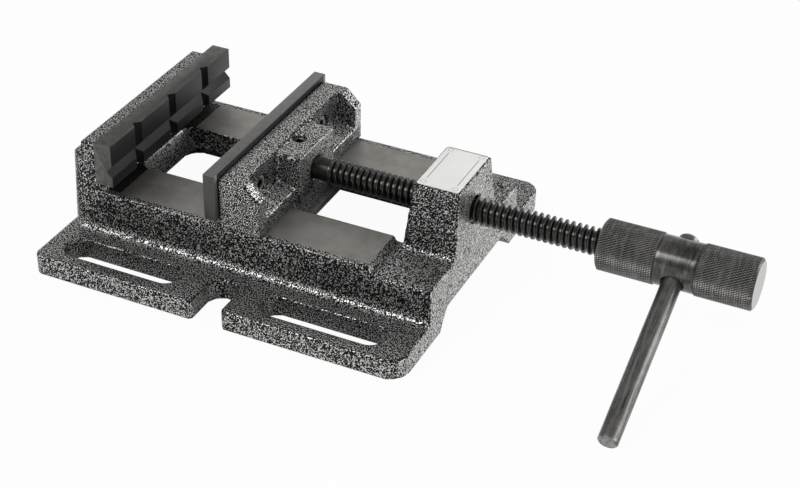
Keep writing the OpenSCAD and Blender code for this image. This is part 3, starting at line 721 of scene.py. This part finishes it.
hubLook = {
    "dark": (0.044, 0.043, 0.042), "mid": (0.085, 0.083, 0.080), "light": (0.15, 0.147, 0.143),
    "worn": (0.26, 0.255, 0.25), "wear": (0.52, 0.66), "metallic": 0.8,
    "stretch": (700.0, 160.0, 160.0), "rough": (0.16, 0.28), "bump": 0.12,
    "end": (0.20953, 0.20958), "endColor": (0.50, 0.495, 0.48),  # m along
    "axisHeight": 0.0387, "crest": (0.01078, 0.01096), "crestColor": (0.34, 0.335, 0.325),  # m from the axis
    "bandMiddle": 0.177, "bandHalf": 0.0085, "knurl": (0.0084, 0.0086), "knurlRough": 0.40,
    "seam": (0.0002, 0.00045), "seamColor": (0.045, 0.044, 0.043),
}


# Hub: a bright turned end, knurl crests rubbed light, and a dark seam on each side of the smoother band
def hubFinish(tree, look, coords, color, rough):
    spot = axes(tree, coords["Object"])
    color = blendColor(tree, rise(tree, spot["X"], *look["end"]), color, look["endColor"])
    off = minus(tree, spot["Z"], look["axisHeight"])
    squares = calc(tree, "ADD", times(tree, spot["Y"], spot["Y"]), times(tree, off, off))
    crest = rise(tree, calc(tree, "SQRT", squares), *look["crest"])
    color = blendColor(tree, crest, color, look["crestColor"])
    away = apart(tree, spot["X"], look["bandMiddle"])
    seam = rise(tree, apart(tree, away, look["bandHalf"]), *look["seam"])
    color = blendColor(tree, seam, look["seamColor"], color)
    return color, blendValue(tree, rise(tree, away, *look["knurl"]), rough, look["knurlRough"])


tommyBar = {
    "radius": 4.25, "length": 97.9, "reach": 85.1, "angle": 24.3, "chamfer": 0.8,
    "waist": 0.015, "waistLong": 5.3, "rings": 60, "cols": 64,
}
barLook = {
    "dark": (0.060, 0.059, 0.056), "mid": (0.155, 0.152, 0.146), "light": (0.23, 0.226, 0.218),
    "worn": (0.42, 0.415, 0.41), "wear": (0.52, 0.60), "metallic": 0.85,
    "stretch": (1100.0, 60.0, 1100.0), "turn": (math.radians(-tommyBar["angle"]), 0, 0),
    "rough": (0.24, 0.42), "bump": 0.1,
}

labelLook = {
    "field": (0.95, 0.95, 0.925), "fieldDull": (0.91, 0.91, 0.88), "dull": (0.3, 0.7),
    "inkAndShade": (0.10, 0.10, 0.10),
    "lineOut": 0.00245, "lineReach": 0.0112,  # m from the plate's long edges, half length
    "line": (0.00010, 0.00018),  # half width, and where it has faded
    "spotIn": 0.0022, "spotRadius": 0.00115,  # m from the plate's edges
    "spotLine": (0.00008, 0.0002), "spotShare": 0.55,
    "top": 0.0001,  # depth of what counts as the top
    "farEdgeShade": (0.0008, 0.00056), "farEdgeShadeShare": 0.9,  # painted shade along the far end's edge
    "stretch": (2200.0, 90.0, 900.0), "rough": (0.46, 0.62), "bump": 0.08, "relief": 0.00004, "metallic": 0.1,
}


# Bare plate: pale field with two ruled lines and a ring in each corner, worked out from the distance to each
def makeLabel():
    p = labelLook
    material, tree, shader = newMaterial("palePlate")
    low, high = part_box("label_plate")
    middle, half = (low + high) / 2, (high - low) / 2
    place = put(tree, "TexCoord").outputs["Object"]
    spot = axes(tree, place)
    across, along = apart(tree, spot["X"], middle.x), apart(tree, spot["Y"], middle.y)
    off = apart(tree, across, half.x - p["lineOut"])
    line = times(tree, fall(tree, off, *p["line"]), below(tree, along, p["lineReach"]))
    dx = minus(tree, across, half.x - p["spotIn"])
    dy = minus(tree, along, half.y - p["spotIn"])
    away = calc(tree, "SQRT", calc(tree, "ADD", times(tree, dx, dx), times(tree, dy, dy)))
    ring = times(tree, fall(tree, apart(tree, away, p["spotRadius"]), *p["spotLine"]), p["spotShare"])
    top = calc(tree, "GREATER_THAN", spot["Z"], high.z - p["top"])
    marks = times(tree, calc(tree, "MAXIMUM", line, ring), top)
    # the far end's dark edge is painted shade where the plate meets the block's edge, in the ink colour
    farShadeMask = rise(tree, spot["Y"], *(high.y - farEdgeShade for farEdgeShade in p["farEdgeShade"]))
    inkAndShade = calc(tree, "MAXIMUM", marks, times(tree, farShadeMask, p["farEdgeShadeShare"]))
    lines = placed(tree, groups["lines"], {"Place": place, "Stretch": p["stretch"]})
    field = blendColor(tree, rise(tree, lines["Blotch"], *p["dull"]), p["field"], p["fieldDull"])
    setInputs(tree, shader, {
        "Base Color": blendColor(tree, inkAndShade, field, p["inkAndShade"]),
        "Roughness": blendValue(tree, lines["Lines"], *p["rough"]),
        "Normal": bumped(tree, lines["Lines"], p["bump"], p["relief"]),
        "Metallic": p["metallic"],
    })
    return material


# Castings and plates

baseCasting = {
    "voxel": 0.6, "rounds": 2, "keep": 0.27,  # mm, rounds of rubbing, share of the triangles
    "wayHigh": (28.6, 29.6), "waySide": 45, "wayAlong": (-64, 59.4),  # mm, cut faces
    "sole": 0.8, "seatAlong": (-68.2, -66.6), "seatFrom": 33, "firm": 0.15,
}
jawCasting = {
    "voxel": 0.45, "rounds": 4, "keep": 0.85,
    "slide": 29.8, "front": -8.0, "holeRadius": 4.2, "holeFrom": 44, "firm": 0.1,  # mm, cut faces
}


def between(values, low, high):
    return (values > low) & (values < high)


# Painted edges soften fully, and cut faces (tops of the ways, soles, seat of the plate) only a little
def baseSoftness(spots):
    c = baseCasting
    x, y, z = (spots / mm).T
    wayTop = between(z, *c["wayHigh"]) & (np.abs(y) < c["waySide"]) & between(x, *c["wayAlong"])
    seat = between(x, *c["seatAlong"]) & (z > c["seatFrom"])
    return np.where(wayTop | seat | (z < c["sole"]), c["firm"], 1.0)


# Sliding jaw: the underside, the plate's seat and the grub screw's hole stay firm
def jawSoftness(spots):
    c = jawCasting
    x, y, z = (spots / mm).T
    low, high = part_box("retaining_grub_screw")
    drilled = np.hypot(x - (low.x + high.x) / 2 / mm, y) < c["holeRadius"]
    machined = (z < c["slide"]) | (x < c["front"]) | (drilled & (z > c["holeFrom"]))
    return np.where(machined, c["firm"], 1.0)


# A casting is its solid cut into small even cells, so that edges and corners rub soft like poured iron
def makeCasting(node, look, softness, material, body):
    rough = joinedCopy(node, node + "Rough", False)
    cells = rough.modifiers.new("cells", "REMESH")
    cells.mode = "VOXEL"
    cells.voxel_size = look["voxel"] * mm
    mesh = baked(rough)
    relax(mesh, look["rounds"], softness)
    bpy.data.objects.remove(rough)
    piece = linked(node + "Cast", mesh)
    thin = piece.modifiers.new("thin", "DECIMATE")
    thin.ratio = look["keep"]
    slim = baked(piece)
    piece.modifiers.clear()
    piece.data = slim
    print(node, "triangles", sum(len(p.vertices) - 2 for p in slim.polygons))
    return dress(piece, material, body, [node], None)


plateEdges = {"segments": 2, "bevelFrom": 25, "sharpFrom": 40}  # degrees between faces


# Plates: the solid with its edges broken by a small bevel
def makePlate(node, width, material, body):
    rough = joinedCopy(node, node + "Rough", True)
    edge = rough.modifiers.new("edge", "BEVEL")
    edge.width = width * mm
    edge.segments = plateEdges["segments"]
    edge.limit_method = "ANGLE"
    edge.angle_limit = math.radians(plateEdges["bevelFrom"])
    mesh = baked(rough)
    bpy.data.objects.remove(rough)
    mesh.name = node + "Ground"
    return dress(linked(node + "Ground", mesh), material, body, [node], plateEdges["sharpFrom"])


# Lead screw

leadScrew = {
    "axisHeight": 38.7, "tip": -4.5, "journal": 5.0, "chamfer": 1.0, "groove": (2.5, 6.5), "grooveDepth": 1.6,
    "threadStart": 20.5, "threadEnd": 144.0, "outer": 6.0, "root": 4.3, "pitch": 2.8,
    "runOut": 1.6, "runOutCurve": 0.7, "ringsPerTurn": 30, "spigot": 4.5, "spigotEnd": 168.0,
    "crest": 0.14, "crestFall": 0.10, "points": 9,  # shares of a turn and of the thread's depth
    "flank": (0.175, 0.335), "flankLift": (0.80, 0.60, 0.38, 0.15, 0.03), "rootFrom": 0.36, "sharpFrom": 34,
}


# The section square to the axis is a cam, worn round crest to flank to root, that turns once for each pitch
def makeLeadScrew(material):
    s = leadScrew
    crest = np.linspace(-s["crest"], s["crest"], s["points"])
    flankLift = np.array(s["flankLift"])
    flank = np.linspace(*s["flank"], len(flankLift))
    root = np.linspace(s["rootFrom"], 1 - s["rootFrom"], s["points"])
    cam = np.concatenate([crest, flank, root, (1 - flank)[::-1]]) * turn
    crown = 1 - s["crestFall"] * (crest / s["crest"]) ** 2
    lift = np.concatenate([crown, flankLift, np.zeros(len(root)), flankLift[::-1]])
    start, end = s["threadStart"], s["threadEnd"]
    rings = int((end - start) / s["pitch"] * s["ringsPerTurn"]) + 1
    x = np.linspace(start, end, rings)
    depth = (s["outer"] - s["root"]) * np.clip((x - start) / s["runOut"], 0, 1) ** s["runOutCurve"]
    outer = s["outer"] - s["chamfer"] * (1 - np.clip((x - start) / s["chamfer"], 0, 1))
    threadR = outer[:, None] - depth[:, None] * (1 - lift)
    twist = turn * (x - start) / s["pitch"]
    grooveFrom, grooveTo = s["groove"]
    journal, groove = s["journal"], s["journal"] - s["grooveDepth"]
    head = np.array([
        (s["tip"], journal - s["chamfer"]), (s["tip"] + s["chamfer"], journal), (grooveFrom, journal),
        (grooveFrom, groove), (grooveTo, groove), (grooveTo, journal), (start, journal),
    ])
    tail = np.array([(end, s["spigot"]), (s["spigotEnd"], s["spigot"])])
    headR, tailR = (np.repeat(part[:, 1:], len(cam), 1) for part in (head, tail))
    along = np.concatenate([head[:, 0], x, tail[:, 0]])
    twists = np.concatenate([np.zeros(len(head)), twist, np.full(len(tail), twist[-1])])
    radius = np.concatenate([headR, threadR, tailR])
    verts, faces = ringStack(along, radius, cam + twists[:, None])
    verts[:, 2] += s["axisHeight"]
    newPiece(
        "leadScrewThread", verts, faces, material, "screw", ["lead_screw"], s["sharpFrom"],
    )


# Hub and bar

hub = {
    "start": 144.0, "end": 209.6, "radius": 11.0, "band": 10.5, "innerKnurl": 24.5, "outerKnurl": 24.1,
    "chamfer": 1.1, "bore": 4.55, "boreDepth": 24.3, "axisHeight": 38.7, "sharpFrom": 18,
    "diamonds": 62, "diamondLong": 2.0, "deepGroove": 0.36, "lightGroove": 0.15,
    "knurlFrom": 0.7, "knurlTo": 0.9, "knurlGap": 0.35,  # mm from the ends and from the band
    "step": 0.1, "lip": 0.08, "sunk": 0.02, "bandIn": 0.15, "bandRings": 12,
    "barAt": 176.8, "barHole": 4.33, "flare": 1.1, "flareIn": 0.3, "toolReach": 16.0, "toolCols": 48,
}


# Knurl: two sets of V-grooves on crossing helices, one cut deeper. On a grid of quarter diamonds, row i and
# column k, one falls off with the triangle wave of (k + i) / 4 and the other with that of (k - i) / 4
def knurlRings(x0, x1, cols):
    h = hub
    rows = int(round((x1 - x0) / (h["diamondLong"] / 4)))
    i = np.arange(rows + 1)[:, None]
    k = np.arange(cols)[None, :]
    deep = np.abs(2 * np.mod((k + i) / 4, 1) - 1)
    light = np.abs(2 * np.mod((k - i) / 4, 1) - 1)
    radius = h["radius"] - h["deepGroove"] * (1 - deep) - h["lightGroove"] * (1 - light)
    return np.linspace(x0, x1, rows + 1), radius, (k + i) % 2 == 0


# Hub: rings from the bottom of its bore over the first knurl, the plain band and the second knurl to its end
def makeHub(material):
    h = hub
    cols = h["diamonds"] * 4
    start, end, step = h["start"], h["end"], h["step"]
    root = h["radius"] - h["deepGroove"] - h["lightGroove"]
    rim = h["radius"] - h["chamfer"]
    bandFrom, bandTo = start + h["innerKnurl"], end - h["outerKnurl"]

    def plainRings(pairs):
        x, r = np.array(pairs, float).T
        return x, np.repeat(r[:, None], cols, 1), np.ones((len(x), cols), bool)

    bandX = np.linspace(bandFrom + h["bandIn"], bandTo - h["bandIn"], h["bandRings"])
    beside = root - h["sunk"]
    rings = [
        plainRings([
            (start + h["boreDepth"], h["bore"]), (start, h["bore"]), (start, rim - step),
            (start + step, rim + h["lip"]), (start + h["knurlFrom"] - step, beside),
        ]),
        knurlRings(start + h["knurlFrom"], bandFrom - h["knurlGap"], cols),
        plainRings([(bandFrom - step, beside), *((x, h["band"]) for x in bandX), (bandTo + step, beside)]),
        knurlRings(bandTo + h["knurlGap"], end - h["knurlTo"], cols),
        plainRings([
            (end - h["knurlTo"] + step, root + step), (end - step, rim + h["lip"]), (end, rim - step),
        ]),
    ]
    along, radius, even = (np.concatenate(part) for part in zip(*rings))
    verts, faces = ringStack(along, radius, np.broadcast_to(roundAngles(cols), radius.shape))
    verts[:, 2] += h["axisHeight"]
    # Each cell is split along the line that a groove or a ridge follows, which joins its even corners
    quads = np.array(faces[:-2])
    first = even.ravel()[quads[:, 0]][:, None]
    one = np.where(first, quads[:, [0, 1, 2]], quads[:, [0, 1, 3]])
    two = np.where(first, quads[:, [0, 2, 3]], quads[:, [1, 2, 3]])
    faces = np.concatenate([one, two]).tolist() + faces[-2:]
    piece = newPiece(
        "handleHubKnurled", verts, faces, material, "screw", ["handle_hub"], h["sharpFrom"],
    )
    cutBarHole(piece, material)


# Bar hole: a round tool with flared ends, laid across the hub at the bar's angle and taken away from it
def cutBarHole(piece, material):
    h = hub
    edge = math.sqrt(h["band"] ** 2 - h["barHole"] ** 2) - h["step"]
    wide = h["barHole"] + h["flare"]
    half = [(edge - h["flareIn"], h["barHole"]), (edge + h["flare"], wide), (h["toolReach"], wide)]
    rows = [(-along, radius) for along, radius in half[::-1]] + half
    verts, faces = turned(rows, h["toolCols"])
    verts = laidAlong(verts, barLine(), (h["barAt"], 0, h["axisHeight"]))
    mesh = bpy.data.meshes.new("barHoleTool")
    mesh.from_pydata((verts * mm).tolist(), [], faces)
    tool = linked("barHoleTool", mesh)
    cut = piece.modifiers.new("barHole", "BOOLEAN")
    cut.operation = "DIFFERENCE"
    cut.solver = "EXACT"
    cut.object = tool
    drilled = baked(piece)
    piece.modifiers.clear()
    piece.data = drilled
    finishMesh(drilled, material, h["sharpFrom"])
    bpy.data.objects.remove(tool)


def barLine():
    a = math.radians(tommyBar["angle"])
    return (0, -math.cos(a), -math.sin(a))


# Bar: a drawn rod, with a shallow uneven waist of a few hundredths and chamfered ends
def makeBar(material):
    b = tommyBar
    start, end, face = b["reach"] - b["length"], b["reach"], b["radius"] - b["chamfer"]
    along = np.linspace(start + b["chamfer"], end - b["chamfer"], b["rings"])
    wide = b["radius"] - b["waist"] * (1 - np.cos(along / b["waistLong"]))
    verts, faces = turned([(start, face), *zip(along, wide), (end, face)], b["cols"])
    verts = laidAlong(verts, barLine(), (hub["barAt"], 0, hub["axisHeight"]))
    newPiece("tommyBarDrawn", verts, faces, material, "bar", ["tommy_bar"])


# Fasteners

fastenerCols = 96
capScrew = {
    "head": 4.25, "tall": 5.0, "socket": 3.4, "socketDeep": 2.5, "shank": 2.5, "shankLong": 8.6,
    "tip": 0.4, "foot": 0.25, "flutes": 32, "flute": 0.06, "fluteEnd": 0.3, "rim": 0.75, "crown": 0.12,
    "rimIn": 0.6, "topIn": 0.975, "mouth": 0.3, "mouthWide": 0.45, "mouthDeep": 0.25,
    "cone": 0.5, "point": 0.05,
    "rimRows": (6, 7, 8),  # rings of the head's rounded rim, which carry the painted highlight
    "nodes": {
        "fixed_jaw_screw_near": "base", "fixed_jaw_screw_far": "base",
        "moving_jaw_screw_near": "jaw", "moving_jaw_screw_far": "jaw",
    },
}


# Cap screw: rings from the shank's end over the fluted head, then down a hexagon socket to its floor
def makeCapScrews(material):
    c = capScrew
    angle = roundAngles(fastenerCols)
    hexagon = hexRadius(c["socket"], angle)
    side, tall, floor = c["head"] - c["flute"], c["tall"], c["tall"] - c["socketDeep"]
    fluted = side + c["flute"] * np.cos(angle * c["flutes"])
    rows = [
        (-c["shankLong"], c["shank"] - c["tip"]), (-c["shankLong"] + c["tip"], c["shank"]), (0, c["shank"]),
        (0, c["head"] - c["foot"]), (c["foot"], fluted), (tall - c["rim"] - c["fluteEnd"], fluted),
        (tall - c["rim"], side), (tall - c["crown"], c["head"] - c["rimIn"]), (tall, c["head"] - c["topIn"]),
        (tall, np.maximum(hexagon + c["mouth"], c["socket"] / 2 + c["mouthWide"])),
        (tall - c["mouthDeep"], hexagon), (floor, hexagon), (floor - c["cone"], hexagon * c["point"]),
    ]
    shape, faces = turned(rows, fastenerCols)
    rimLit = np.repeat(np.isin(np.arange(len(rows)), c["rimRows"]), fastenerCols).astype(np.float32)
    for node, body in c["nodes"].items():
        low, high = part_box(node)
        middle = (low + high) / 2 / mm
        outward = 1 if body == "jaw" else -1
        seat = high.x / mm - tall if body == "jaw" else low.x / mm + tall
        verts = laidAlong(shape, (outward, 0, 0), (seat, middle.y, middle.z))
        piece = newPiece(node + "Cap", verts, faces, material, body, [node])
        piece.data.attributes.new("rim", "FLOAT", "POINT").data.foreach_set("value", rimLit)


grubScrew = {
    "radius": 3.0, "socket": 3.4, "socketDeep": 2.5, "point": 1.6, "pointEdge": 0.3, "pointLong": 1.9,
    "shoulder": (2.0, 2.5), "edge": 0.35, "mouth": 0.25, "mouthEdge": 0.45, "cone": 0.4, "floor": 0.05,
}


# Grub screw: rings up from the dog point, over the cup rim and down the hexagon socket
def makeGrub(material):
    g = grubScrew
    low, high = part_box("retaining_grub_screw")
    middle = (low + high) / 2 / mm
    hexagon = hexRadius(g["socket"], roundAngles(fastenerCols))
    tall = (high.z - low.z) / mm
    deep = tall - g["socketDeep"]
    shoulder, body = g["shoulder"]
    rows = [
        (0, g["point"] - g["pointEdge"]), (g["pointEdge"], g["point"]), (g["pointLong"], g["point"]),
        (shoulder, g["radius"] - (body - shoulder)), (body, g["radius"]),
        (tall - g["edge"], g["radius"]), (tall, g["radius"] - g["edge"]),
        (tall, np.minimum(hexagon + g["mouth"], g["radius"] - g["mouthEdge"])), (tall - g["mouth"], hexagon),
        (deep, hexagon), (deep - g["cone"], hexagon * g["floor"]),
    ]
    verts, faces = turned(rows, fastenerCols)
    verts = laidAlong(verts, (0, 0, 1), (middle.x, middle.y, low.z / mm))
    newPiece(
        "retainingGrubSocket", verts, faces, material, "jaw", ["retaining_grub_screw"],
    )


keeperScrew = {
    "acrossFlats": 10.0, "tall": 4.0, "shank": 3.0, "shankTip": 0.5, "crown": 0.5, "crownRise": 0.2,
    "face": 4.6, "faceEdge": (0.12, 4.75), "trim": 5.45, "under": 0.1,
}


# Hexagon screw: rings from the crowned head, which a cone trims at its corners, up the shank
def makeKeeperScrews(material):
    k = keeperScrew
    hexagon = hexRadius(k["acrossFlats"], roundAngles(fastenerCols))
    for node in ("keeper_screw_near", "keeper_screw_far"):
        low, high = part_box(node)
        middle = (low + high) / 2 / mm
        end = (high.z - low.z) / mm
        rows = [
            (0, k["face"]), k["faceEdge"], (k["crown"], np.minimum(hexagon, k["trim"])),
            (k["crown"] + k["crownRise"], hexagon), (k["tall"] - k["under"], hexagon),
            (k["tall"], hexagon - k["under"]), (k["tall"], k["shank"]),
            (end - k["shankTip"], k["shank"]), (end, k["shank"] - k["shankTip"]),
        ]
        verts, faces = turned(rows, fastenerCols)
        verts = laidAlong(verts, (0, 0, 1), (middle.x, middle.y, low.z / mm))
        newPiece(node + "Hex", verts, faces, material, "jaw", [node])


# Stage by stage

groups = {"vein": makeVeinGroup(), "lines": makeLinesGroup(), "wear": makeWearGroup()}
makeCamera()
makeLamps()
makeFloor()
print("stage ready")

basePaint = makePaint("hammertoneBase", basePaintLook, baseBare, baseShade)
jawPaint = makePaint("hammertoneJaw", litJawPaintLook, jawBare, jawShade, jawFloorHighlight)
fixedPlateSteel = makeSteel("plateSteel", fixedPlateLook, fixedPlateShade)
movingPlateSteel = makeSteel("movingPlateSteel", movingPlateLook, movingPlateShade)
fastenerSteel = makeSteel("fastenerSteel", fastenerLook, fastenerRimHighlight)
keeperSteel = makeSteel("keeperSteel", keeperLook)
screwSteel = makeSteel("screwSteel", screwLook, screwNeckShade)
hubSteel = makeSteel("hubSteel", hubLook, hubFinish)
barSteel = makeSteel("barSteel", barLook)
palePlate = makeLabel()
print("materials ready")

makeCasting("base_casting", baseCasting, baseSoftness, basePaint, "base")
makeCasting("sliding_jaw", jawCasting, jawSoftness, jawPaint, "jaw")
print("castings ready")

makePlate("fixed_jaw_plate", 0.35, fixedPlateSteel, "base")
makePlate("moving_jaw_plate", 0.45, movingPlateSteel, "jaw")
makePlate("keeper_plate", 0.4, keeperSteel, "jaw")
for side in ("near", "far"):
    makePlate("spring_washer_" + side, 0.2, keeperSteel, "jaw")
makePlate("label_plate", 0.12, palePlate, "base")
print("plates ready")

makeLeadScrew(screwSteel)
makeHub(hubSteel)
makeBar(barSteel)
print("screw, hub and bar ready")

makeCapScrews(fastenerSteel)
makeGrub(fastenerSteel)
makeKeeperScrews(fastenerSteel)
print("fasteners ready")
